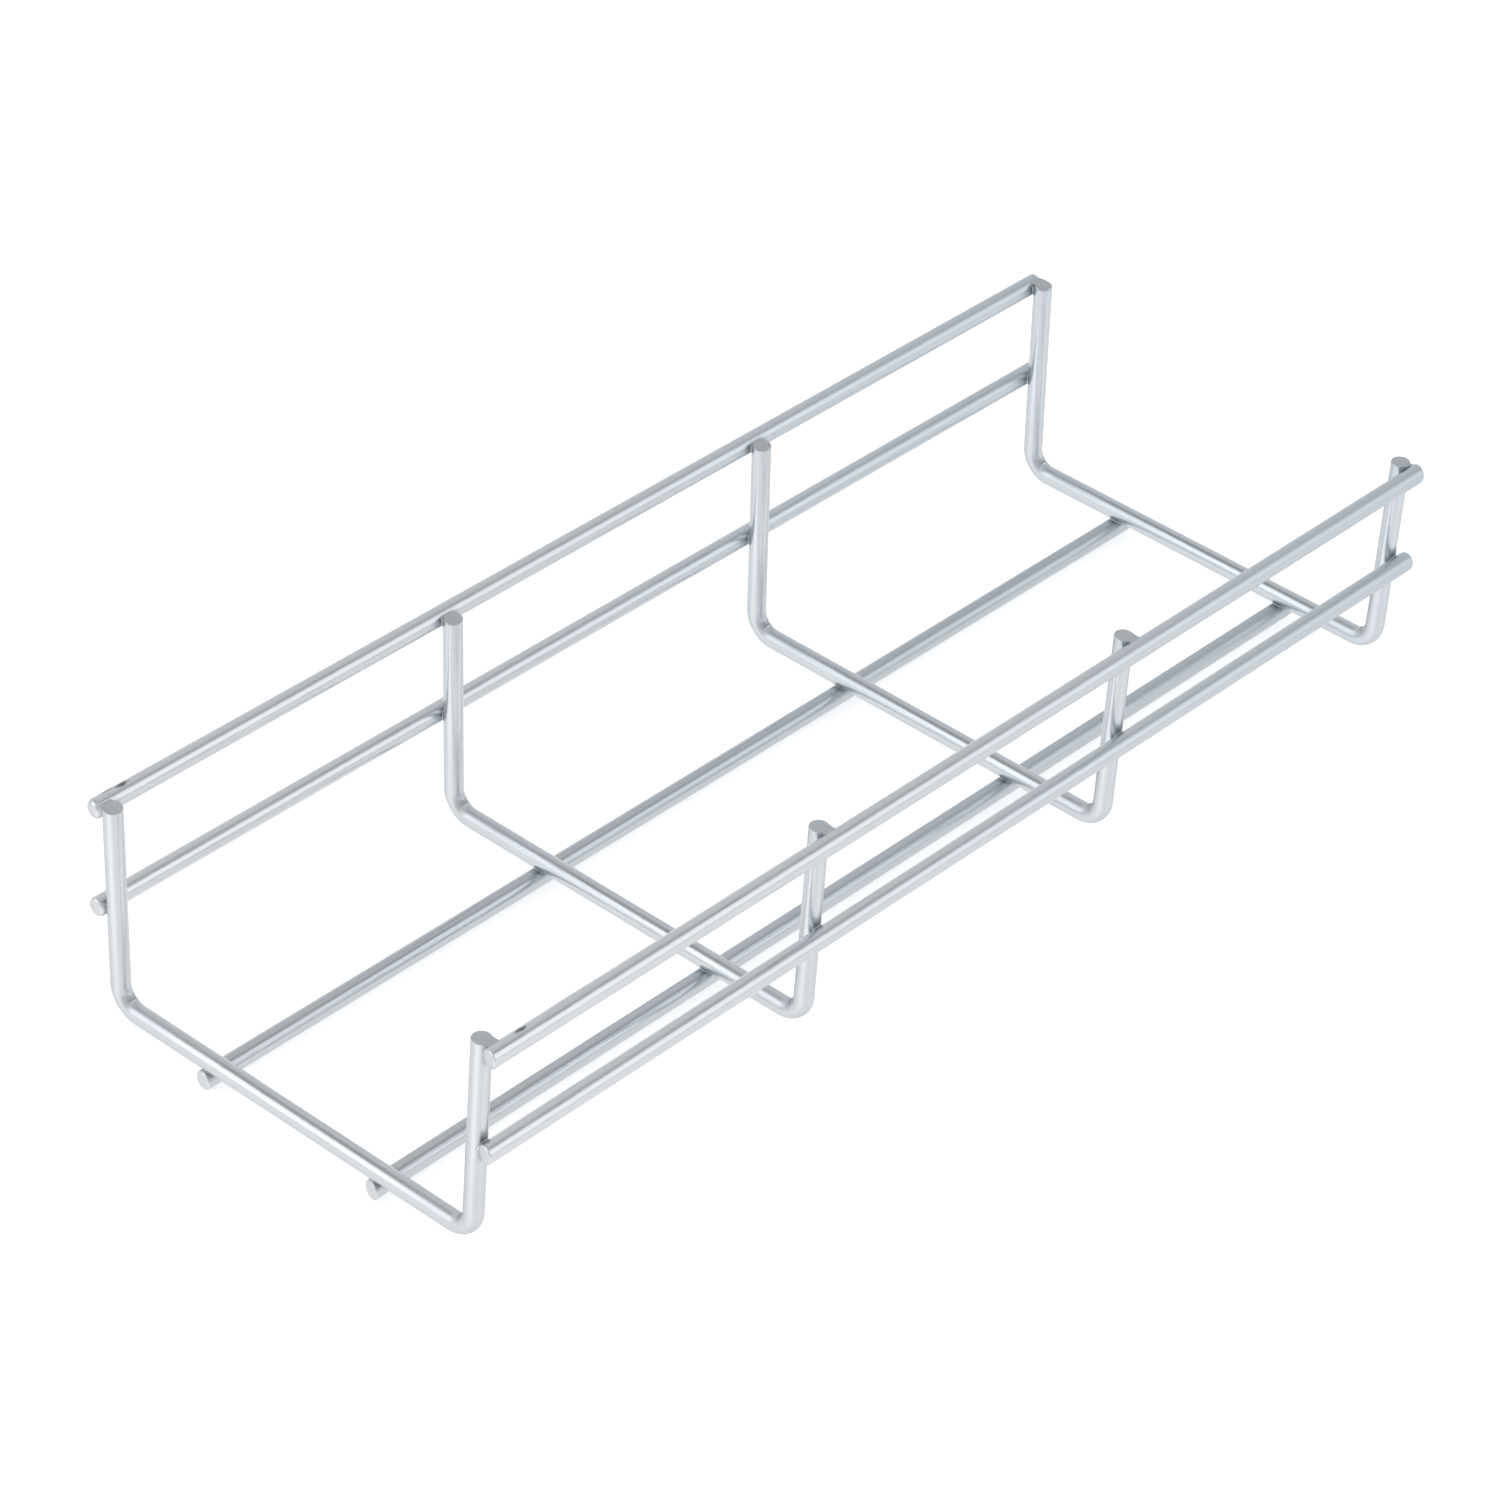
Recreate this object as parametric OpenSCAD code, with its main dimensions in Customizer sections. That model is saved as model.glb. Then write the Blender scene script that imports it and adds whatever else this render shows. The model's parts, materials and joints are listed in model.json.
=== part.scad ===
// Wire mesh cable basket: one short length of formed basket tray.
// Bent cross wires carry straight long wires, which are welded on from the
// outside: two under the floor and two on each side wall.
// X runs along the basket, Y across it and Z up. It stands on its floor
// wires at Z = 0, and its middle is at X = 0 and Y = 0.

/* [Wire] */
// Diameter of the bent cross wires
cross_d = 4.5; // [3.5:0.1:6]
// Diameter of the straight long wires
long_d = 4.5; // [3.5:0.1:6]
// Depth by which two crossing wires are pressed together at their weld
weld_set_down = 0.5; // [0.2:0.1:0.9]

/* [Length] */
// Number of cross wires
cross_count = 4; // [2:1:12]
// Distance between neighbouring cross wires
cross_pitch = 100; // [50:5:150]
// Length of the long wires past the side of the first cross wire
front_stub = 0.5; // [0.1:0.1:30]
// Length of the long wires past the side of the last cross wire
back_stub = 1.5; // [0.1:0.1:30]

/* [Floor] */
// Clear width between the side walls, at the floor
clear_w = 100; // [80:5:300]
// Distance between the two floor wires
floor_pitch = 50; // [20:5:55]

/* [Side walls] */
// Outward lean of the side walls, in degrees
wall_lean = 1.5; // [0:0.25:8]
// Inside radius of the bends between the floor and the side walls
bend_inside_r = 3.5; // [2:0.5:8]
// Radius that the wire loses where it is bent
bend_neck = 0.03; // [0.02:0.01:0.1]
// Distance from the floor's corner to the lower side wire, up the wall
lower_wire_h = 24.5; // [18:0.5:60]
// Distance from the lower side wire to the top wire, up the wall
side_pitch = 25; // [12:0.5:60]
// Distance from the top wire's axis to the cross wires' tips, up the wall
tip_reach = 1.75; // [1.7:0.05:12]

/* [Cut ends] */
// Rounding of the rims at the long wires' sheared ends
end_round = 0.6; // [0.1:0.05:0.8]
// Rounding of the rims at the cross wires' tips
tip_round = 0.25; // [0.1:0.05:0.8]

/* [Hidden] */
$fn = 48;
zinc = [0.76, 0.78, 0.80];

cross_r = cross_d / 2;
long_r = long_d / 2;
basket_len = (cross_count - 1) * cross_pitch + cross_d + front_stub + back_stub;
// Distance between the axes of two wires that cross
weld_offset = cross_r + long_r - weld_set_down;
// Height of the cross wires' floor run, above the floor wires that carry it
floor_run_z = long_r + weld_offset;

// The corner is where the axes of the floor run and the side wall would meet.
corner_y = clear_w / 2 + cross_r;
bend_r = bend_inside_r + cross_r;
bend_reach = bend_r * tan((90 - wall_lean) / 2);
// Degrees by which a bend reaches into each straight run
bend_lap = 0.2;
wall_len = lower_wire_h + side_pitch + tip_reach;

SIDES = [["left", 1], ["right", -1]];

function cross_x(i) = front_stub + cross_r + (i - 1) * cross_pitch - basket_len / 2;

// Y and Z of a side wire's axis, welded on outside the wall at height h up it
function side_wire_at(h) = [
    corner_y + h * sin(wall_lean) + weld_offset * cos(wall_lean),
    floor_run_z + h * cos(wall_lean) - weld_offset * sin(wall_lean)
];

// Round bar from Z = 0 to length, with the rim of its far end rounded
module cut_bar(d, length, rim_r) {
    rotate_extrude() {
        square([d / 2, length - rim_r]);
        square([d / 2 - rim_r, length]);
        translate([d / 2 - rim_r, length - rim_r]) circle(rim_r);
    }
}

// Straight wire along X, over the whole length of the basket
module long_wire(y, z) {
    translate([0, y, z]) rotate([0, 90, 0])
        for (back = [0, 1]) mirror([0, 0, back])
            cut_bar(long_d, basket_len / 2, end_round);
}

module floor_wire(side) {
    color(zinc) long_wire(side * floor_pitch / 2, long_r);
}

module lower_side_wire(side) {
    at = side_wire_at(lower_wire_h);
    color(zinc) long_wire(side * at[0], at[1]);
}

module top_wire(side) {
    at = side_wire_at(lower_wire_h + side_pitch);
    color(zinc) long_wire(side * at[0], at[1]);
}

// Bend about the origin, from the floor run round to the side wall. The wire
// necks a little where it is bent, so each end of the bend reaches inside the
// straight run that it meets.
module bend() {
    rotate(-90 - bend_lap)
        rotate_extrude(angle = 90 - wall_lean + 2 * bend_lap)
            translate([bend_r, 0]) circle(cross_r - bend_neck);
}

// Half of a bent wire, drawn in the XY plane: floor run, bend and side wall
module bent_half() {
    bend_x = corner_y - bend_reach;
    rotate([0, 90, 0]) cylinder(h = bend_x, r = cross_r);
    translate([bend_x, bend_r]) {
        bend();
        rotate(-wall_lean) translate([bend_r, 0]) rotate([-90, 0, 0])
            cut_bar(cross_d, wall_len - bend_reach, tip_round);
    }
}

// One U-shaped wire, with a seat pressed into it at each long wire
module cross_wire(i) {
    color(zinc) difference() {
        translate([cross_x(i), 0, floor_run_z]) rotate([90, 0, 90])
            for (right = [0, 1]) mirror([right, 0, 0]) bent_half();
        for (side = SIDES) {
            floor_wire(side[1]);
            lower_side_wire(side[1]);
            top_wire(side[1]);
        }
    }
}

for (i = [1 : cross_count])
    cross_wire(i);
for (side = SIDES) {
    floor_wire(side[1]);
    lower_side_wire(side[1]);
    top_wire(side[1]);
}
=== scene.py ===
"""Wire mesh cable basket: bent and straight zinc-plated wires, their welds, the studio and the camera."""
import json
import math

import bpy
import numpy as np
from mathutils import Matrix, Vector

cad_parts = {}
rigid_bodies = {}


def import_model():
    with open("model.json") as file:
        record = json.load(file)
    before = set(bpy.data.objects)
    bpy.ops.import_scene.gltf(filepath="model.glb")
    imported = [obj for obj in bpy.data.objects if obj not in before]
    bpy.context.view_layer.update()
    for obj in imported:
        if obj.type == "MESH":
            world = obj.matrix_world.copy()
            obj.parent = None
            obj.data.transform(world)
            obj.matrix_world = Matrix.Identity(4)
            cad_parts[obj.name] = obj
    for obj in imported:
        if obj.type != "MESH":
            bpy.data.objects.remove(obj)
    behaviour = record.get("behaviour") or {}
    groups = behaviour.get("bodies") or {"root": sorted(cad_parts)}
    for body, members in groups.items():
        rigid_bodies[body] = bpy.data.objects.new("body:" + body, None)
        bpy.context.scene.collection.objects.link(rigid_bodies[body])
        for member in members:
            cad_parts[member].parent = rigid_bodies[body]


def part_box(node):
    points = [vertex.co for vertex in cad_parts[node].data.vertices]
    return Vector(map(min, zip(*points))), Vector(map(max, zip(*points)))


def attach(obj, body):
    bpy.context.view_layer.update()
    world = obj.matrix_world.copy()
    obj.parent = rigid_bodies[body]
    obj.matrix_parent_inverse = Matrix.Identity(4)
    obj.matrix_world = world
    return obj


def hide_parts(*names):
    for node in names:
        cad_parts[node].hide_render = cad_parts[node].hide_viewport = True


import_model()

MM = 0.001
SIDES = ("left", "right")
CROSS_NAMES = [f"cross_wire_{i}" for i in (1, 2, 3, 4)]
LONG_NAMES = [f"{part}_{side}" for part in ("floor_wire", "lower_side_wire", "top_wire") for side in SIDES]

# The bent wires' axis: where it turns up, and how the walls lean
WALL_LEAN = math.radians(1.5)
BEND_RADIUS = 5.75 * MM
CORNER_Y = 52.25 * MM
SPARE = 0.5 * MM  # drawn past each tip, and trimmed off again by its cut
WALL_LENGTH = 51.25 * MM + SPARE
WELD_REACH = 2.0 * MM  # from the middle of a weld to either wire's axis
TIP_REACH = 1.75 * MM  # from the middle of a top weld up to the tip

# The rings and sides of each swept wire
FACE_RINGS, RIM_RINGS, BEND_STEPS, WIRE_SIDES = 5, 8, 40, 48
LONG_RING_STEP, CROSS_RING_STEP = 0.8 * MM, 0.3 * MM
WITHIN_CAD = 0.9995  # keeps the wires' sides just inside the solids

# The marks that bending leaves
BEND_NECKING = 0.04 * MM
BEND_WRINKLE = 0.15 * MM
BEND_DEPTH = 0.279  # at the middle of a bend the axis is this share of its radius off the straight runs
RIPPLES = 9.0
WORN_REACH, WORN_FADE = 25.0 * MM, 13.0 * MM  # the plate is duller this near to a bend

# A crevice is rougher and carries painted shade this near to the middle of its weld, where a wire faces it
CREVICE_REACH, CREVICE_FADE = 4.0 * MM, 1.5 * MM

# Trim, rounding of the rim and slant of each cut end, in millimetres: near and far end, then left and right tip
LONG_CUTS = {
    "floor_wire_left": ((0.0, 0.45, 0.6), (0.0, 0.6, 0.6)),
    "floor_wire_right": ((0.0, 0.35, 1.1), (0.1, 0.6, 0.7)),
    "lower_side_wire_left": ((0.0, 0.75, 0.1), (0.2, 0.7, 0.5)),
    "lower_side_wire_right": ((0.1, 0.5, 1.0), (0.0, 1.2, 0.6)),
    "top_wire_left": ((0.0, 1.3, 0.5), (1.1, 0.9, 0.7)),
    "top_wire_right": ((0.1, 0.5, 1.0), (0.9, 0.9, 1.2)),
}
TIP_CUTS = {
    "cross_wire_1": ((-0.05, 0.12, 0.45), (-0.35, 0.15, 0.04)),
    "cross_wire_2": ((0.25, 0.22, 0.60), (-0.35, 0.15, 0.04)),
    "cross_wire_3": ((0.22, 0.24, 0.60), (-0.35, 0.18, 0.04)),
    "cross_wire_4": ((-0.28, 0.60, 0.30), (-0.35, 0.20, 0.06)),
}

# The collars of melted metal in the crevices
CREVICE_SHAPES = 5  # how many different collars the welds away from the tips are picked from
COLLAR_TURNS, COLLAR_STEPS = 96, 12
COLLAR_CORE, CORE_HEIGHT = 1.25 * MM, 0.25 * MM
SINK = 0.012  # how deep the skin's edges lie in the wires, in mm
TIP_FEET = {"left": (-1.75, 1.70), "right": (-1.1, 2.0)}  # the skin's reach each way along the long wire, in mm
LOW_WEBS = {("cross_wire_4", -1): 0.55}  # here the squeezed metal stays this many mm below the cut

# Spatter
BEAD_SIZE, BEAD_ROWS, BEAD_TURNS = 0.17 * MM, 5, 8
BEADS_PER_AREA = 30000.0

# How much rougher a long wire's plate gets from end to end
SATIN = {"left": 0.20, "right": 0.30}

# Middle and half length, width and height of each mark of the plating rack, in millimetres
RUB_MARKS = (
    ((-144.2, 57.8, 57.9), (1.9, 0.75, 1.2)),
    ((-147.6, 58.4, 57.7), (2.4, 0.35, 1.0)),
    ((-143.3, -57.2, 57.9), (1.8, 0.60, 1.2)),
    ((147.0, -56.2, 57.3), (1.7, 0.50, 0.9)),
)

# Colours of the plate, and of the painted light and shade on it
DEEP_ZINC, PALE_ZINC = (0.57, 0.60, 0.63), (0.70, 0.735, 0.765)
# Painted shade: the wires lying on the floor are made darker
FLOOR_WIRE_SHADE = (0.49, 0.53, 0.565)
# Painted shade in the crevices at the welds and on the inside of the bends
CREVICE_SHADE = (0.27, 0.285, 0.30)
# Painted shade on the skin of the weld collars
WELD_SHADE = (0.30, 0.315, 0.33)
RUBBED_GREY = (0.14, 0.145, 0.155)
# Painted light and shade from end to end: warmer and brighter at the first end of the basket, darker at the last
NEAR_PAINTED_LIGHT, FAR_PAINTED_SHADE = (1.09, 1.055, 1.04), (0.915, 0.945, 0.96)
CUT_TINT = (0.82, 0.82, 0.82)
BASKET_LENGTH = 0.3
EVEN_FALLOFF_FROM, EVEN_FALLOFF_SPAN = 0.38, 0.27  # the painted light falls off less from end to end on the bent wires and the welds
PLATE_GRAIN = 0.0006
LEAST_ROUGH = 0.12

# Soft boxes: azimuth, elevation, reach and edge in degrees, then strength
SOFT_BOXES = ((142, 32, 22, 7, 0.72), (-46, 28, 20, 7, 0.46))
# Broad glows and shades: azimuth and elevation in degrees, sharpness, then strength
GLOWS = ((90, 66, 22.0, -0.42), (-22, 54, 22.0, -0.24), (182, -36, 9.0, 0.38), (280, -36, 8.0, 0.15),
         (142, 0, 14.0, 0.15), (-46, 2, 14.0, 0.05))
WALL_LIGHT, FLOOR_LIGHT, ROOM_LIGHT = 0.68, 0.20, 1.10
SWEEP_SIZE = 4.0

CAMERA_PLACE = (-0.797624, -0.673569, 0.779170)
CAMERA_TURN = (54.0537, -2.5040, -47.6009)
CAMERA_LENS, CAMERA_SENSOR = 139.526, 36.0

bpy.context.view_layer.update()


# ---------------------------------------------------------------- node helpers
class Sock:
    """An output of a node that takes part in Python expressions."""

    def __init__(self, graph, socket):
        self.graph, self.socket = graph, socket

    def __add__(self, other):
        return self.graph.math("ADD", self, other)

    def __sub__(self, other):
        return self.graph.math("SUBTRACT", self, other)

    def __rsub__(self, other):
        return self.graph.math("SUBTRACT", other, self)

    def __mul__(self, other):
        return self.graph.math("MULTIPLY", self, other)

    def __truediv__(self, other):
        return self.graph.math("DIVIDE", self, other)

    __radd__, __rmul__ = __add__, __mul__

    def least(self, other):
        return self.graph.math("MINIMUM", self, other)

    def most(self, other):
        return self.graph.math("MAXIMUM", self, other)

    def above(self, other):
        return self.graph.math("GREATER_THAN", self, other)

    def clamped(self):
        """Kept between 0 and 1."""
        return self.least(1).most(0)

    def out(self, name):
        """Another output of the same node."""
        return Sock(self.graph, self.socket.node.outputs[name])


class Graph:
    """Adds nodes and links to one shader, world or geometry tree."""

    def __init__(self, tree):
        self.tree = tree
        tree.nodes.clear()

    def add(self, kind, settings=None, sockets=None, out=0):
        made = self.tree.nodes.new(kind)
        for name, value in (settings or {}).items():
            setattr(made, name, value)
        for name, value in (sockets or {}).items():
            self.fill(made.inputs[name], value)
        return Sock(self, made.outputs[out]) if made.outputs else made

    def fill(self, socket, value):
        if isinstance(value, Sock):
            self.tree.links.new(value.socket, socket)
        else:
            socket.default_value = value

    def math(self, operation, *terms):
        return self.add("ShaderNodeMath", {"operation": operation}, dict(enumerate(terms)))

    def vector(self, operation, *terms):
        """A sum with vectors. A dot product or a length gives a number, and anything else a vector."""
        out = "Value" if operation in ("DOT_PRODUCT", "LENGTH") else "Vector"
        return self.add("ShaderNodeVectorMath", {"operation": operation}, dict(enumerate(terms)), out)

    def scaled(self, vector, factor):
        return self.add("ShaderNodeVectorMath", {"operation": "SCALE"}, {0: vector, "Scale": factor})

    def mixed(self, share, first, second, blend="MIX"):
        """Two colours mixed by a share of the second."""
        first, second = [c if isinstance(c, Sock) else (*c, 1) for c in (first, second)]
        return self.add("ShaderNodeMix", {"data_type": "RGBA", "blend_type": blend},
                        {0: share, 6: first, 7: second}, out=2)

    def noise(self, place, scale, detail, roughness=0.5):
        return self.add("ShaderNodeTexNoise", None, {
            "Vector": place, "Scale": scale, "Detail": detail, "Roughness": roughness})

    def marked(self, name):
        """A share kept on the mesh under this name, as the shader reads it."""
        return self.add("ShaderNodeAttribute", {"attribute_name": name}, out="Fac").clamped()

    def named(self, name, kind="FLOAT"):
        """A value kept on the mesh under this name, as a geometry tree reads it."""
        return self.add("GeometryNodeInputNamedAttribute", {"data_type": kind}, {"Name": name})

    def kept(self, geometry, name, value, kind="FLOAT"):
        """The geometry with this value kept on each of its points."""
        return self.add("GeometryNodeStoreNamedAttribute", {"data_type": kind, "domain": "POINT"},
                        {"Geometry": geometry, "Name": name, "Value": value})

    def moved(self, geometry, offset):
        return self.add("GeometryNodeSetPosition", None, {"Geometry": geometry, "Offset": offset})


def graph_of(material_or_world):
    material_or_world.use_nodes = True
    return Graph(material_or_world.node_tree)


# ---------------------------------------------------------------- geometry trees
def new_tree(name, inputs):
    """An empty geometry tree with these named inputs, its graph, and its input node."""
    tree = bpy.data.node_groups.new(name, "GeometryNodeTree")
    graph = Graph(tree)
    tree.interface.new_socket("Geometry", in_out="INPUT", socket_type="NodeSocketGeometry")
    for label, kind in inputs:
        tree.interface.new_socket(label, in_out="INPUT", socket_type="NodeSocket" + kind)
    tree.interface.new_socket("Geometry", in_out="OUTPUT", socket_type="NodeSocketGeometry")
    return tree, graph, graph.add("NodeGroupInput")


def close_tree(g, start, geometry):
    """Every tree ends as real mesh in its material."""
    geometry = g.add("GeometryNodeRealizeInstances", None, {"Geometry": geometry})
    geometry = g.add("GeometryNodeSetMaterial", None, {"Geometry": geometry, "Material": start.out("Material")})
    g.add("NodeGroupOutput", None, {"Geometry": geometry})


WIRE_INPUTS = (
    ("Wire radius", "Float"), ("Bend radius", "Float"), ("Bend necking", "Float"), ("Bend wrinkle", "Float"),
    ("Face crown", "Float"), ("Tone", "Float"), ("Satin", "Float"), ("Ring spacing", "Float"), ("Sides", "Int"),
    ("Joints", "Object"), ("Material", "Material"),
    *[(f"{end} {what}", kind) for end in ("Near", "Far") for what, kind in (
        ("trim", "Float"), ("rounding", "Float"), ("slant", "Float"), ("slant way", "Vector"))])


def wire_tree():
    """A round bar swept along the path's corner points, bent at each corner and sheared off at both ends.

    Each end has its own trim, rounding of the rim, and slant of the cut, which is cut back on the way given.
    """
    tree, g, start = new_tree("Drawn wire", WIRE_INPUTS)
    bar = straightened(g, swept_bar(g, start))
    from_axis = g.vector("SUBTRACT", g.add("GeometryNodeInputPosition"), g.named("axis_spot", "FLOAT_VECTOR"))
    bar = slanted(g, start, bar, from_axis)
    bar, in_bend = wrinkled(g, start, bar, from_axis)
    # near_joint and in_bend mask the painted shade in the crevices and inside the bends, and tone is 0 on the
    # floor wires, which get painted shade
    for label, value in (("near_joint", facing_a_weld(g, start, from_axis)), ("in_bend", in_bend),
                         ("tone", start.out("Tone")), ("satin", start.out("Satin"))):
        bar = g.kept(bar, label, value)
    bar = g.add("GeometryNodeSetShadeSmooth", None, {"Geometry": bar, "Shade Smooth": True})
    close_tree(g, start, bar)
    return tree


def swept_bar(g, start):
    """Sets rings along the bent path and sweeps a circle through them."""
    corners = g.add("GeometryNodeMeshToCurve", None, {"Mesh": start.out("Geometry")})
    path = g.add("GeometryNodeFilletCurve", {"mode": "POLY"}, {
        "Curve": corners, "Count": BEND_STEPS, "Radius": start.out("Bend radius"), "Limit Radius": True})
    length = g.add("GeometryNodeCurveLength", None, {"Curve": path})
    last = g.math("CEIL", length / start.out("Ring spacing")) + 2 * (FACE_RINGS + RIM_RINGS)
    rail = g.add("GeometryNodeResampleCurve", {"mode": "COUNT"}, {"Curve": path, "Count": last + 1})

    along, girth, from_face, slant, start_half = ring_places(g, start, length, last)
    spot = g.add("GeometryNodeSampleCurve", {"mode": "LENGTH"}, {"Curves": path, "Length": along}, out="Position")
    inward = g.scaled(spot.out("Tangent"), start_half * 2 - 1)
    off_corner, to_inside, near_bend = bend_places(g, start, spot)
    thinned = start.out("Bend necking") * (off_corner / (0.2 * start.out("Bend radius"))).least(1)
    for label, value in (
            ("along", along), ("girth", girth - thinned), ("from_face", from_face), ("slant", slant),
            ("start_half", start_half), ("off_corner", off_corner), ("near_bend", near_bend)):
        rail = g.kept(rail, label, value)
    for label, value in (("to_inside", to_inside), ("inward", inward), ("axis_spot", spot)):
        rail = g.kept(rail, label, value, "FLOAT_VECTOR")
    rail = g.add("GeometryNodeSetPosition", None, {"Geometry": rail, "Position": spot})

    circle = g.add("GeometryNodeCurvePrimitiveCircle", {"mode": "RADIUS"},
                   {"Resolution": start.out("Sides"), "Radius": 1.0})
    circle = g.kept(circle, "section", g.add("GeometryNodeInputPosition"), "FLOAT_VECTOR")
    return g.add("GeometryNodeCurveToMesh", None, {
        "Curve": rail, "Profile Curve": circle, "Scale": g.named("girth"), "Fill Caps": True})


def ring_places(g, start, length, last):
    """Where each ring is along the wire and how wide it is, how far past its face, and its end's slant and half.

    From each end the first rings cross the slightly domed face and turn round its rim. The rest are evenly spaced.
    """
    radius, crown = start.out("Wire radius"), start.out("Face crown")
    end_rings = FACE_RINGS + RIM_RINGS
    index = g.add("GeometryNodeInputIndex")
    near_end = index.least(last - index)
    start_half = 1 - index.above(last * 0.5)

    def of_end(what):
        """The near or the far end's value, on each side of the middle."""
        return start.out("Near " + what) * start_half + start.out("Far " + what) * (1 - start_half)

    rim, trim = of_end("rounding"), of_end("trim")
    on_face = (near_end / FACE_RINGS).least(1)
    rim_turn = ((near_end - FACE_RINGS) / RIM_RINGS).clamped() * (math.pi / 2)
    used = rim + crown + trim
    step = (length * 0.5 - used) / (last * 0.5 - end_rings)
    on_rim = rim * (1 - g.math("COSINE", rim_turn))
    depth = crown * on_face * on_face + on_rim + (near_end - end_rings).most(0) * step
    place = depth + trim
    along = start_half * place + (1 - start_half) * (length - place)
    girth = (radius - rim) * (on_face * 0.96 + 0.04) + rim * g.math("SINE", rim_turn)
    return along, girth, depth - rim - crown, of_end("slant"), start_half


def bend_places(g, start, spot):
    """How far a bend has left the straight runs between the corners, the way to its inside, and how near it is."""
    runs = g.add("GeometryNodeProximity", {"target_element": "EDGES"},
                 {0: start.out("Geometry"), "Sample Position": spot})
    to_inside = g.vector("NORMALIZE", g.vector("SUBTRACT", spot, runs))
    neighbours = g.add("GeometryNodeInputMeshVertexNeighbors", None, None, out="Vertex Count")
    corners = g.add("GeometryNodeDeleteGeometry", {"domain": "POINT"}, {
        "Geometry": start.out("Geometry"), "Selection": 1 - neighbours.above(1.5)})
    corner = g.add("GeometryNodeProximity", {"target_element": "POINTS"}, {0: corners, "Sample Position": spot})
    near_bend = ((WORN_REACH - corner.out("Distance")) / WORN_FADE).clamped() * corner.out("Is Valid")
    return runs.out("Distance"), to_inside, near_bend


def straightened(g, bar):
    """Keeps the bar's own straight coordinates, for the grain, and which part of it is the cut face."""
    across = g.add("ShaderNodeSeparateXYZ", None, {0: g.named("section", "FLOAT_VECTOR")})
    straight = g.add("ShaderNodeCombineXYZ", None, {
        "X": g.named("along"), "Y": across.out("X") * g.named("girth"), "Z": across.out("Y") * g.named("girth")})
    bar = g.kept(bar, "straight_place", straight, "FLOAT_VECTOR")
    return g.kept(bar, "cut_face", (0.25 * MM - g.named("from_face")) / (0.5 * MM))


def slanted(g, start, bar, from_axis):
    """The shear leaves each cut slanted."""
    radius = start.out("Wire radius")
    way = g.add("ShaderNodeMix", {"data_type": "VECTOR"}, {
        0: g.named("start_half"), 4: start.out("Far slant way"), 5: start.out("Near slant way")}, out=1)
    side_of = g.vector("DOT_PRODUCT", from_axis, way)
    fade = (1 - g.named("from_face") / (radius * 0.8)).clamped()
    slant = g.named("slant") * (0.5 + 0.5 * side_of / radius) * fade
    return g.moved(bar, g.scaled(g.named("inward", "FLOAT_VECTOR"), slant))


def wrinkled(g, start, bar, from_axis):
    """The steel wrinkles on the inside of each bend. Gives the bar and how far each spot is in such a crease,
    which gets painted shade.
    """
    radius = start.out("Wire radius")
    inside = g.vector("DOT_PRODUCT", from_axis, g.named("to_inside", "FLOAT_VECTOR")) / radius
    middle = g.named("off_corner") / (BEND_DEPTH * start.out("Bend radius"))
    ripple = g.math("COSINE", (1 - middle) * RIPPLES) * ((middle - 0.35) / 0.35).clamped()
    wrinkle = ripple * ((inside - 0.35) / 0.45).clamped() * start.out("Bend wrinkle")
    bar = g.moved(bar, g.scaled(from_axis, -1 * wrinkle / radius))
    return bar, ((middle - 0.40) / 0.4).clamped() * ((inside - 0.3) / 0.5).clamped()


def facing_a_weld(g, start, from_axis):
    """How far each spot is in a crevice, near the middle of a weld and facing it, which gets painted shade."""
    joints = g.add("GeometryNodeObjectInfo", None, {"Object": start.out("Joints")}, out="Geometry")
    joint = g.add("GeometryNodeProximity", {"target_element": "POINTS"}, {0: joints})
    to_joint = g.vector("SUBTRACT", joint, g.named("axis_spot", "FLOAT_VECTOR"))
    facing = g.vector("DOT_PRODUCT", from_axis, to_joint) / (start.out("Wire radius") * WELD_REACH)
    close = (CREVICE_REACH - joint.out("Distance")) / CREVICE_FADE
    return close.clamped() * ((facing - 0.68) / 0.25).clamped()


def weld_tree():
    """One fused collar at each crossing, picked from a few shapes, with small beads of spatter on it."""
    tree, g, start = new_tree("Spot welds", (
        ("Collars", "Collection"), ("Bead", "Object"), ("Bead density", "Float"), ("Seed", "Int"),
        ("Material", "Material")))
    collars = g.add("GeometryNodeCollectionInfo", None,
                    {"Collection": start.out("Collars"), "Separate Children": True, "Reset Children": True})
    rotation = g.add("FunctionNodeAxesToRotation", {"primary_axis": "Z", "secondary_axis": "X"}, {
        "Primary Axis": g.named("outward", "FLOAT_VECTOR"), "Secondary Axis": g.named("long_way", "FLOAT_VECTOR")})
    welds = g.add("GeometryNodeInstanceOnPoints", None, {
        "Points": start.out("Geometry"), "Instance": collars, "Pick Instance": True,
        "Instance Index": g.named("shape", "INT"), "Rotation": rotation})
    welds = g.add("GeometryNodeRealizeInstances", None, {"Geometry": welds})
    whole = g.add("GeometryNodeJoinGeometry")
    for part in (spatter(g, start, welds), welds):
        tree.links.new(part.socket, whole.socket.node.inputs[0])
    close_tree(g, start, whole)
    return tree


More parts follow.
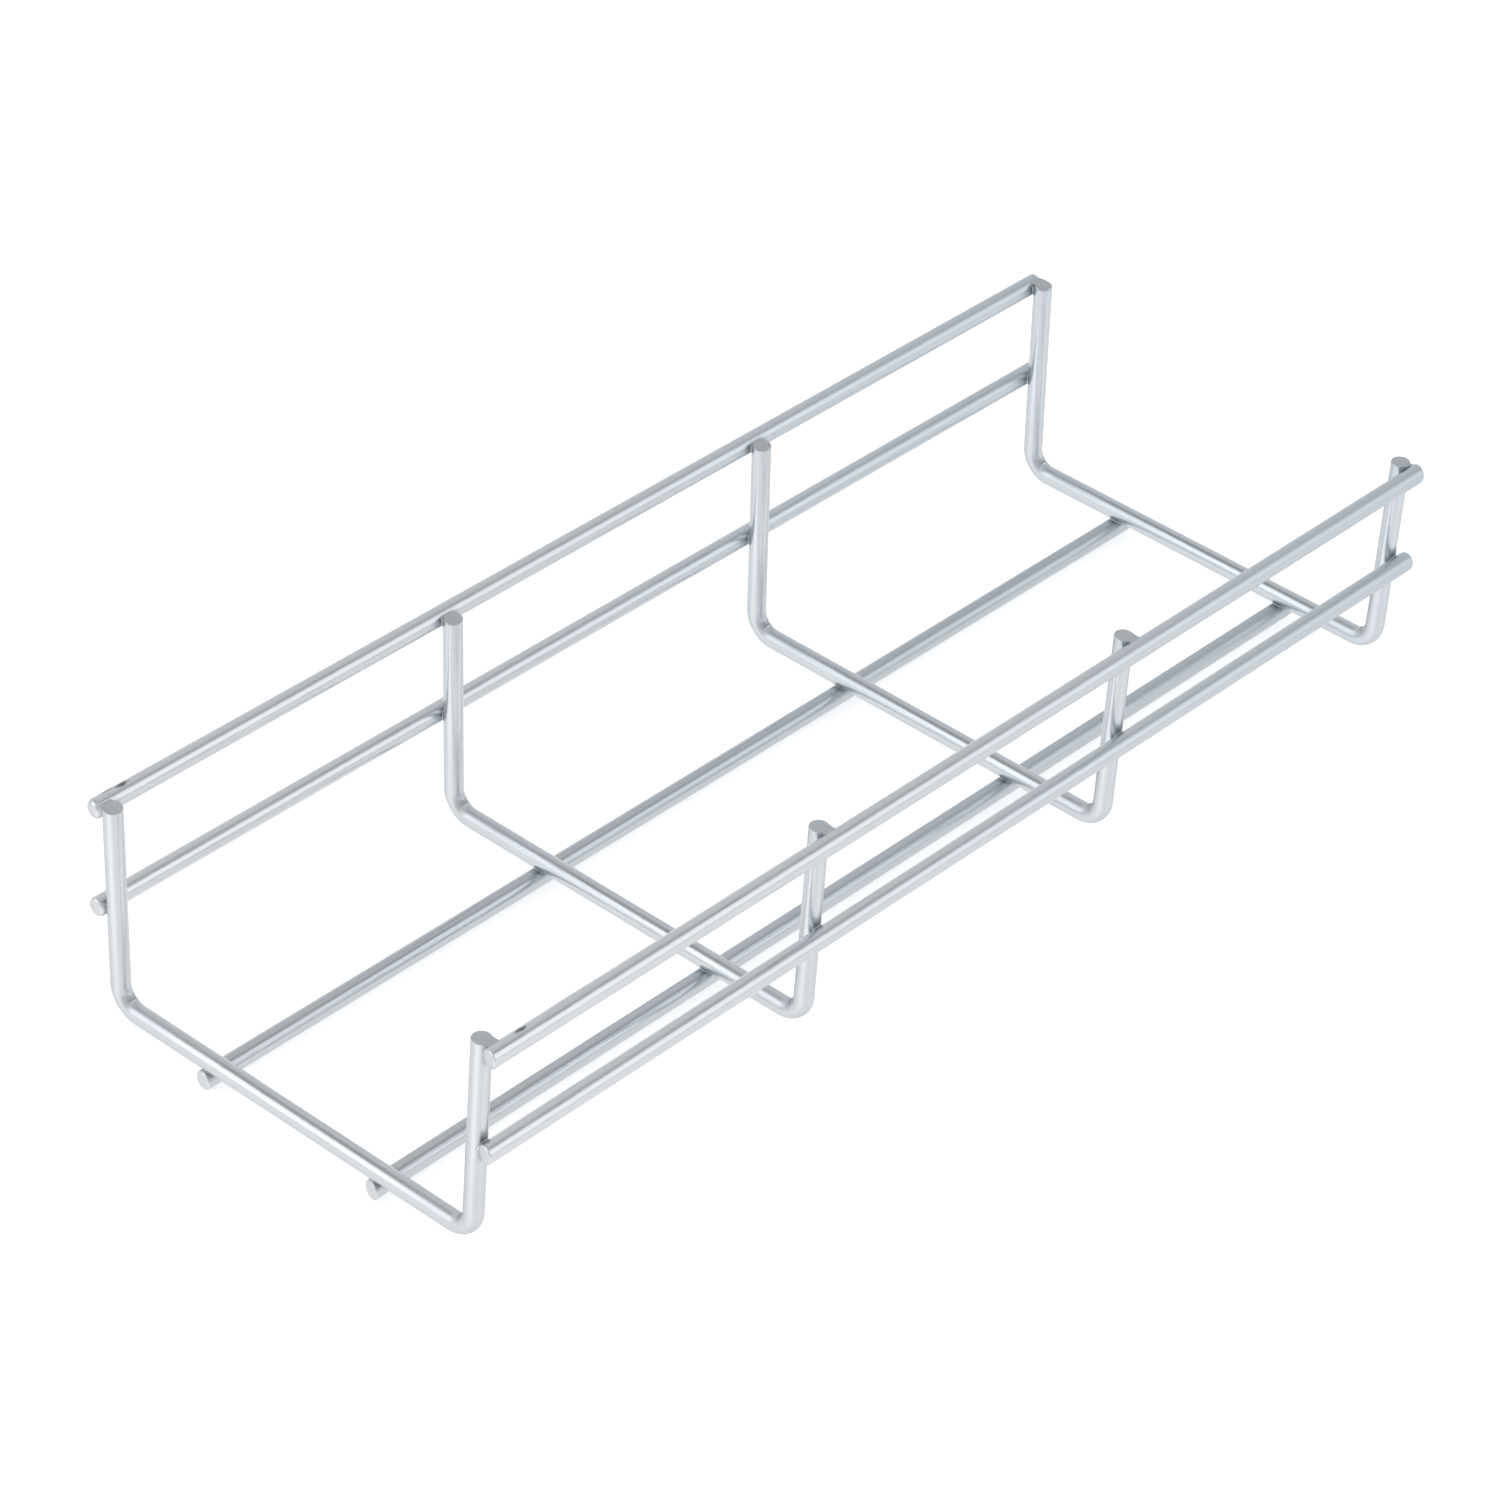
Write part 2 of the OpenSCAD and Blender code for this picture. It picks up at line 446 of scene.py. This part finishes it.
def spatter(g, start, welds):
    """Small beads on the skin of the welds, most of them very small."""
    seed = start.out("Seed")
    spots = g.add("GeometryNodeDistributePointsOnFaces", {"distribute_method": "RANDOM"}, {
        "Mesh": welds, "Selection": g.named("skin").above(0.5), "Density": start.out("Bead density"),
        "Seed": seed}, out="Points")
    size = g.add("FunctionNodeRandomValue", {"data_type": "FLOAT"}, {2: 0.0, 3: 1.0, "Seed": seed}, out=1)
    turn = g.add("FunctionNodeRandomValue", {"data_type": "FLOAT_VECTOR"},
                 {0: (0, 0, 0), 1: (6.28, 6.28, 6.28), "Seed": seed})
    bead = g.add("GeometryNodeObjectInfo", None, {"Object": start.out("Bead")}, out="Geometry")
    return g.add("GeometryNodeInstanceOnPoints", None, {
        "Points": spots, "Instance": bead, "Rotation": g.add("FunctionNodeEulerToRotation", None, {0: turn}),
        "Scale": 0.35 + 0.65 * size * size * size})


def grown(source, tree, values, name):
    """Runs a geometry tree on an object and keeps the result as a plain mesh piece."""
    modifier = source.modifiers.new("Grow", "NODES")
    modifier.node_group = tree
    for item in tree.interface.items_tree:
        if item.in_out == "INPUT" and item.name in values:
            modifier[item.identifier] = values[item.name]
    depsgraph = bpy.context.evaluated_depsgraph_get()
    mesh = bpy.data.meshes.new_from_object(source.evaluated_get(depsgraph), depsgraph=depsgraph)
    mesh.name = name
    source.modifiers.remove(modifier)
    bpy.data.objects.remove(source)
    return shown(name, mesh)


def shown(name, mesh):
    made = bpy.data.objects.new(name, mesh)
    bpy.context.scene.collection.objects.link(made)
    return made


# ---------------------------------------------------------------- wires
def wire_radius(node):
    low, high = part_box(node)
    return (high.y - low.y) / 2


def long_path(node):
    """The two ends of a straight wire's axis."""
    low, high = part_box(node)
    middle = (low + high) / 2
    return [(low.x, middle.y, middle.z), (high.x, middle.y, middle.z)]


def cross_axis(node):
    """X and the height of the floor run of a bent wire, and its radius."""
    low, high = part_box(node)
    radius = (high.x - low.x) / 2
    return (low.x + high.x) / 2, low.z + radius, radius


def cross_path(node):
    """Tip, corner, corner and tip of a bent wire's axis, from the left side to the right."""
    x, z, _ = cross_axis(node)
    out, up = WALL_LENGTH * math.sin(WALL_LEAN), WALL_LENGTH * math.cos(WALL_LEAN)
    return [(x, CORNER_Y + out, z + up), (x, CORNER_Y, z), (x, -CORNER_Y, z), (x, -CORNER_Y - out, z + up)]


def path_object(points):
    mesh = bpy.data.meshes.new("path")
    mesh.from_pydata(points, [(i, i + 1) for i in range(len(points) - 1)], [])
    return shown("path", mesh)


def end_values(end, trim, rounding, slant, way):
    return {f"{end} trim": trim * MM, f"{end} rounding": rounding * MM, f"{end} slant": slant * MM,
            f"{end} slant way": way}


def make_wires(material, joints):
    """Sweeps every wire. The long wires were sheared a little askew, and the left tips slant inwards."""
    tree = wire_tree()
    for node in LONG_NAMES:
        near_cut, far_cut = LONG_CUTS[node]
        keep_wire(node, long_path(node), tree, material, joints, {
            "Wire radius": wire_radius(node) * WITHIN_CAD, "Face crown": 0.12 * MM, "Ring spacing": LONG_RING_STEP,
            # Above floor is 0 on the floor wires, which get painted shade
            "Tone": 0.0 if node.startswith("floor") else 1.0, "Satin": SATIN[node.split("_")[-1]],
            **end_values("Near", *near_cut, (0, 1, 0)), **end_values("Far", *far_cut, (0, -1, -0.2))})
    for node in CROSS_NAMES:
        left_cut, right_cut = [(trim + SPARE / MM, *rest) for trim, *rest in TIP_CUTS[node]]
        keep_wire(node, cross_path(node), tree, material, joints, {
            "Wire radius": cross_axis(node)[2] * WITHIN_CAD, "Face crown": 0.03 * MM,
            "Ring spacing": CROSS_RING_STEP, "Tone": 1.0, "Satin": 0.0,
            **end_values("Near", *left_cut, (-0.5, -0.85, 0)), **end_values("Far", *right_cut, (-0.5, 0.85, 0))})


def keep_wire(node, path, tree, material, joints, values):
    piece = grown(path_object(path), tree, {
        "Bend radius": BEND_RADIUS, "Bend necking": BEND_NECKING, "Bend wrinkle": BEND_WRINKLE,
        "Sides": WIRE_SIDES, "Joints": joints, "Material": material, **values}, "drawn_" + node)
    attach(piece, "root")
    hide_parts(node)


# ---------------------------------------------------------------- welds
def crossings():
    """Every weld: the middle of the joint, the way from long wire to cross wire, and how far on the tip is cut.

    The last value is None where the cross wire runs on, and otherwise its sign gives the tip's way.
    """
    found = []
    for cross in CROSS_NAMES:
        x, run_z, _ = cross_axis(cross)
        for node in LONG_NAMES:
            low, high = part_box(node)
            y, z = (low.y + high.y) / 2, (low.z + high.z) / 2
            side = 1 if y > 0 else -1
            if node.startswith("floor"):
                outward, reach = Vector((0, 0, 1)), (run_z - z) / 2
            else:
                outward, reach = Vector((0, -side * math.cos(WALL_LEAN), math.sin(WALL_LEAN))), WELD_REACH
            tip = None
            if node.startswith("top"):
                trim, _, slant = TIP_CUTS[cross][0 if side > 0 else 1]
                tip = side * (TIP_REACH - (trim + 0.06 + 0.12 * slant + LOW_WEBS.get((cross, side), 0)) * MM)
            found.append((Vector((x, y, z)) + outward * reach, outward, tip))
    return found


def eased(value, low, high):
    t = max(0.0, min(1.0, (value - low) / (high - low)))
    return t * t * (3 - 2 * t)


def crevice_edge(radius, across, up, gap):
    """How far out from the middle of a joint, on this way, the crevice between the wires is this wide."""
    near, far = 1.2 * MM, 2.24 * MM
    for _ in range(30):
        mid = (near + far) / 2
        on_long = math.sqrt(radius**2 - (mid * up)**2)
        open_by = 2 * WELD_REACH - math.sqrt(radius**2 - (mid * across)**2) - on_long
        near, far = (mid, far) if open_by < gap else (near, mid)
    return (near + far) / 2


def collar_mesh(name, seed, radius, tip):
    """The thin skin of melted zinc and steel in the crevice round a crossing, running out along both wires.

    Z points from the long wire to the cross wire, X along the long wire. Where the cross wire ends just past
    the joint the squeezed metal fills the crevice to the wire's width, level with the cut face. Each line of
    the skin runs from a point on the cross wire to one on the long wire, hollowed towards the middle.
    """
    rng = np.random.default_rng(seed)
    phase = rng.uniform(0, 2 * math.pi, 6)
    foot = TIP_FEET["right" if tip and tip < 0 else "left"]
    verts, skin, flat = [], [], []
    for i in range(COLLAR_TURNS):
        a = 2 * math.pi * i / COLLAR_TURNS
        across, up = math.cos(a), math.sin(a)
        wobble = sum(math.sin((k + 1) * a + phase[k]) / (k + 1.5) for k in range(6))
        outer = crevice_edge(radius, across, up, (0.34 + 0.10 * wobble) * MM)
        upper = lower = np.array([outer * across, outer * up])
        hollow = np.array([across, up]) * 0.33 * (outer - 1.5 * MM)
        share = 0.0 if tip is None else eased(up * math.copysign(1, tip), -0.25, 0.15)
        if share:
            out, rise = min(1, abs(across) * 1.6), min(1, abs(up) * 1.6)
            on_cross = np.array([math.copysign(0.90 * radius, across) * out, tip * rise])
            on_long = np.array([foot[1 if across > 0 else 0] * MM * out, tip * rise])
            upper, lower = upper + share * (on_cross - upper), lower + share * (on_long - lower)
            hollow = hollow * (1 - share) + share * np.array([(0.12 if across > 0 else -0.38) * MM * out, 0])
        cut = share > 0.99 and rise == 1
        # How much painted shade the skin carries, deepest on the tip webs' side towards the first end of the
        # basket
        shade = 1.0 if share > 0.5 and across < 0 else 0.55
        top = WELD_REACH - math.sqrt(radius**2 - upper[0]**2) + (SINK + 0.16 * share) * MM
        low = math.sqrt(radius**2 - lower[1]**2) - WELD_REACH - SINK * MM
        for k in range(COLLAR_STEPS + 1):
            t = k / COLLAR_STEPS
            spot = upper + (lower - upper) * t * t - hollow * math.sin(math.pi * t)
            verts.append((*spot, top + (low - top) * t))
            skin.append(shade if 1 < k < COLLAR_STEPS - 1 and not cut else 0.0)
            flat.append(1.0 if cut else 0.0)
        for height in (-CORE_HEIGHT, CORE_HEIGHT):
            verts.append((COLLAR_CORE * across, COLLAR_CORE * up, height))
            skin.append(0.0)
            flat.append(0.0)
    mesh = bpy.data.meshes.new(name)
    faces = ring_faces(COLLAR_TURNS, COLLAR_STEPS + 3)
    mesh.from_pydata(verts, [], faces)
    mesh.polygons.foreach_set("use_smooth", [not all(flat[v] for v in face) for face in faces])
    mesh.attributes.new("skin", "FLOAT", "POINT").data.foreach_set("value", skin)
    mesh.attributes.new("cut_face", "FLOAT", "POINT").data.foreach_set("value", flat)
    return mesh


def ring_faces(turns, around):
    """The faces of a closed ring whose section has this many points."""
    faces = []
    for i in range(turns):
        j = (i + 1) % turns
        for k in range(around):
            m = (k + 1) % around
            faces.append((i * around + k, i * around + m, j * around + m, j * around + k))
    return faces


def bead_mesh():
    """A small lump of spatter."""
    rng = np.random.default_rng(7)
    verts, faces = [(0, 0, BEAD_SIZE)], []
    for r in range(1, BEAD_ROWS):
        polar = math.pi * r / BEAD_ROWS
        for i in range(BEAD_TURNS):
            a = 2 * math.pi * i / BEAD_TURNS
            s = BEAD_SIZE * rng.uniform(0.8, 1.15)
            wide = s * math.sin(polar)
            verts.append((wide * math.cos(a), wide * math.sin(a), s * math.cos(polar)))
    verts.append((0, 0, -BEAD_SIZE))
    last_row = 1 + (BEAD_ROWS - 2) * BEAD_TURNS
    for i in range(BEAD_TURNS):
        j = (i + 1) % BEAD_TURNS
        faces.append((0, 1 + i, 1 + j))
        for r in range(BEAD_ROWS - 2):
            row, below = 1 + r * BEAD_TURNS, 1 + (r + 1) * BEAD_TURNS
            faces.append((row + i, below + i, below + j, row + j))
        faces.append((last_row + i, len(verts) - 1, last_row + j))
    mesh = bpy.data.meshes.new("bead")
    mesh.from_pydata(verts, [], faces)
    mesh.polygons.foreach_set("use_smooth", [True] * len(faces))
    return mesh


def weld_places():
    """A point at each weld with its two ways and the number of its shape, and the tips' reach of each shape."""
    places = crossings()
    kinds = [None] * CREVICE_SHAPES + sorted({tip for _, _, tip in places if tip is not None})
    mesh = bpy.data.meshes.new("weld_places")
    mesh.from_pydata([tuple(spot) for spot, _, _ in places], [], [])
    outward, long_way = [way for _, way, _ in places], [Vector((1, 0, 0))] * len(places)
    for label, column in (("outward", outward), ("long_way", long_way)):
        mesh.attributes.new(label, "FLOAT_VECTOR", "POINT").data.foreach_set(
            "vector", [c for v in column for c in v])
    rng = np.random.default_rng(3)
    shape = [int(rng.integers(0, CREVICE_SHAPES)) if tip is None else kinds.index(tip) for _, _, tip in places]
    mesh.attributes.new("shape", "INT", "POINT").data.foreach_set("value", shape)
    return shown("weld_places", mesh), kinds


def make_welds(material, joints, kinds):
    radius = wire_radius(LONG_NAMES[0])
    shapes = bpy.data.collections.new("collars")
    for k, tip in enumerate(kinds):
        name = f"collar_{k:02d}"
        shapes.objects.link(bpy.data.objects.new(name, collar_mesh(name, 20 + k, radius, tip)))
    bead = bpy.data.objects.new("bead", bead_mesh())
    piece = grown(joints, weld_tree(), {
        "Collars": shapes, "Bead": bead, "Bead density": BEADS_PER_AREA, "Seed": 5, "Material": material},
        "spot_welds")
    for spare in list(shapes.objects) + [bead]:
        bpy.data.objects.remove(spare)
    bpy.data.collections.remove(shapes)
    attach(piece, "root")


# ---------------------------------------------------------------- finishes
def share_along(g, place):
    """0 at the first end of the basket and 1 at the last."""
    return (g.add("ShaderNodeSeparateXYZ", None, {0: place}, out="X") / BASKET_LENGTH + 0.5).clamped()


def painted_falloff_and_cut_tint(g, colour, share, cut):
    """Painted light: the plate is warmer and brighter at one end of the basket than at the other, as if lit more
    there, and bare cuts are darker.
    """
    colour = g.mixed(1.0, colour, g.mixed(share, NEAR_PAINTED_LIGHT, FAR_PAINTED_SHADE), "MULTIPLY")
    return g.mixed(cut, colour, CUT_TINT, "MULTIPLY")


def rub_marks(g, place, peel):
    """How much of the plate is rubbed off, with ragged edges."""
    rub = 0.0
    for spot, size in RUB_MARKS:
        away = g.vector("SUBTRACT", place, [c * MM for c in spot])
        away = g.vector("LENGTH", g.vector("DIVIDE", away, [c * MM for c in size]))
        rub = ((1.15 - away + (peel - 0.5) * 1.3) * 1.6).clamped() + rub
    return rub.least(1)


def zinc_plate():
    """Bright zinc on drawn steel wire.

    It has faint draw lines and soft mottling, is duller on the cuts and rougher in the crevices, and carries a few
    rub marks from the rack it was plated on. Painted shade darkens the crevices, the inside of the bends and the
    wires on the floor, and painted light makes it brighter at the first end of the basket than at the last.
    """
    material = bpy.data.materials.new("bright_zinc_plate")
    g = graph_of(material)
    grain_place = g.add("ShaderNodeAttribute", {"attribute_name": "straight_place"}, out="Vector")
    place = g.add("ShaderNodeTexCoord", None, None, out="Object")
    stretched = g.add("ShaderNodeMapping", None, {"Vector": grain_place, "Scale": (60.0, 2600.0, 2600.0)})
    sheared = g.add("ShaderNodeMapping", None, {"Vector": grain_place, "Scale": (0.0, 1500.0, 170.0)})
    lines = g.noise(stretched, 1.0, 4.0, 0.6)
    mottle = g.noise(place, 420.0, 5.0, 0.62)
    peel = g.noise(place, 1500.0, 3.0)
    streaks = g.noise(sheared, 1.0, 2.0)
    cut, joint, bend, worn, off_floor, satin = [g.marked(name) for name in (
        "cut_face", "near_joint", "in_bend", "near_bend", "tone", "satin")]
    # Painted shade: darker in the crevices at the welds and on the inside of the bends, where the plate is also
    # rougher
    crevice = (joint * (0.75 + mottle * 0.5)).least(1) * (1 - cut) + bend * (0.25 + mottle * 1.2)
    # Painted light: how far along its falloff each spot is, in full on the long wires and less on the others
    along, long_wire = share_along(g, place), satin.above(0.1)
    share = along * long_wire + (EVEN_FALLOFF_FROM + along * EVEN_FALLOFF_SPAN) * (1 - long_wire)

    tone = (mottle * 0.6 + lines * 0.4 - 0.5) * 0.5
    colour = g.mixed((0.5 + tone).clamped(), DEEP_ZINC, PALE_ZINC)
    colour = painted_falloff_and_cut_tint(g, colour, share, cut * (1 - long_wire))
    # Painted shade: the wires lying on the floor are darker, except on their cuts
    colour = g.mixed((1 - off_floor) * (1 - cut) * 0.6, colour, FLOOR_WIRE_SHADE)
    colour = g.mixed(crevice * 0.7, colour, CREVICE_SHADE)
    colour = g.mixed(rub_marks(g, place, peel) * 0.9, colour, RUBBED_GREY)

    rough = 0.225 + (lines - 0.5) * 0.10 + (mottle - 0.5) * 0.10
    rough = (rough + cut * 0.10 + crevice * 0.08 + worn * 0.12).most(LEAST_ROUGH)
    rough = (rough + (along - 0.40).most(-0.2) * satin).most(LEAST_ROUGH)
    height = lines * 0.5 + peel * 0.35 + mottle * 0.6 + streaks * cut * 2.4
    plated(g, colour, rough, height, 0.10)
    return material


def weld_skin():
    """The same zinc over the melted metal, a little lumpy, with painted shade on the collars' skin and the same
    painted light from end to end.
    """
    material = bpy.data.materials.new("plated_weld")
    g = graph_of(material)
    place = g.add("ShaderNodeTexCoord", None, None, out="Object")
    lumps = g.noise(place, 1300.0, 4.0)
    cut, hollow = g.marked("cut_face"), g.marked("skin")
    colour = g.mixed(lumps, DEEP_ZINC, PALE_ZINC)
    colour = painted_falloff_and_cut_tint(g, colour, EVEN_FALLOFF_FROM + share_along(g, place) * EVEN_FALLOFF_SPAN, cut)
    # Painted shade on the collars' skin
    colour = g.mixed(hollow * 0.90, colour, WELD_SHADE)
    plated(g, colour, 0.20 + lumps * 0.10 + cut * 0.1, lumps * (1 - cut), 0.12)
    return material


def plated(g, colour, rough, height, strength):
    """Bare metal of this colour and roughness, with this fine relief."""
    normal = g.add("ShaderNodeBump", None, {"Strength": strength, "Distance": PLATE_GRAIN, "Height": height})
    shader = g.add("ShaderNodeBsdfPrincipled", None, {
        "Base Color": colour, "Metallic": 1.0, "Roughness": rough, "Normal": normal})
    g.add("ShaderNodeOutputMaterial", None, {"Surface": shader})


# ---------------------------------------------------------------- studio
def make_floor():
    """A white sweep: it clips to white, and the object's own soft shadow stays on it."""
    mesh = bpy.data.meshes.new("floor")
    s = SWEEP_SIZE
    mesh.from_pydata([(-s, -s, 0), (s, -s, 0), (s, s, 0), (-s, s, 0)], [], [(0, 1, 2, 3)])
    floor = shown("floor", mesh)
    material = bpy.data.materials.new("white_sweep")
    g = graph_of(material)
    rays = g.add("ShaderNodeLightPath", None, None, out="Is Camera Ray")
    paper = g.add("ShaderNodeBsdfDiffuse", None, {"Color": (0.85, 0.85, 0.85, 1)})
    lit = g.add("ShaderNodeEmission", None, {"Color": (1, 1, 1, 1), "Strength": rays * 0.5})
    seen = g.add("ShaderNodeAddShader", None, {0: paper, 1: lit})
    clear = g.add("ShaderNodeBsdfTransparent")
    both = g.add("ShaderNodeMixShader", None, {0: rays.out("Is Glossy Ray"), 1: seen, 2: clear})
    g.add("ShaderNodeOutputMaterial", None, {"Surface": both})
    mesh.materials.append(material)


def toward(g, way, azimuth, elevation):
    """1 where this way points there, falling to -1 behind."""
    a, e = math.radians(azimuth), math.radians(elevation)
    return g.vector("DOT_PRODUCT", way, (math.cos(a) * math.cos(e), math.sin(a) * math.cos(e), math.sin(e)))


def glow(g, way, azimuth, elevation, sharpness):
    return g.math("EXPONENT", (toward(g, way, azimuth, elevation) - 1) * sharpness)


def soft_box(g, way, azimuth, elevation, reach, edge):
    return smooth_step(g, toward(g, way, azimuth, elevation),
                       math.cos(math.radians(reach + edge)), math.cos(math.radians(reach - edge)))


def smooth_step(g, value, low, high):
    return g.add("ShaderNodeMapRange", {"interpolation_type": "SMOOTHSTEP"},
                 {"Value": value, "From Min": low, "From Max": high})


def make_room():
    """Two soft boxes, a grey room with darker and brighter parts, and white below."""
    world = bpy.data.worlds.new("studio")
    bpy.context.scene.world = world
    g = graph_of(world)
    way = g.add("ShaderNodeTexCoord", None, None, out="Generated")
    below = smooth_step(g, g.add("ShaderNodeSeparateXYZ", None, {0: way}, out="Z"), 0.06, -0.06)
    light = WALL_LIGHT + below * FLOOR_LIGHT
    for *place_and_size, strength in SOFT_BOXES:
        light = light + soft_box(g, way, *place_and_size) * strength
    for *place_and_size, strength in GLOWS:
        light = light + glow(g, way, *place_and_size) * strength
    light = light * ROOM_LIGHT
    tint = g.add("ShaderNodeCombineXYZ", None, {
        "X": light * (0.982 + below * 0.015), "Y": light, "Z": light * (1.012 - below * 0.012)})
    rays = g.add("ShaderNodeLightPath", None, None, out="Is Camera Ray")
    back = g.add("ShaderNodeBackground", None, {"Color": g.mixed(rays, tint, (1, 1, 1)), "Strength": 1.0})
    g.add("ShaderNodeOutputWorld", None, {"Surface": back})


def make_camera():
    camera = bpy.data.objects.new("camera", bpy.data.cameras.new("camera"))
    bpy.context.scene.collection.objects.link(camera)
    camera.location = CAMERA_PLACE
    camera.rotation_euler = [math.radians(a) for a in CAMERA_TURN]
    camera.data.lens, camera.data.sensor_width = CAMERA_LENS, CAMERA_SENSOR
    camera.data.clip_start, camera.data.clip_end = 0.05, 20.0
    bpy.context.scene.camera = camera


make_camera()
make_room()
make_floor()
joints, kinds = weld_places()
make_wires(zinc_plate(), joints)
make_welds(weld_skin(), joints, kinds)

scene = bpy.context.scene
scene.view_settings.view_transform = "Standard"
bpy.context.view_layer.update()
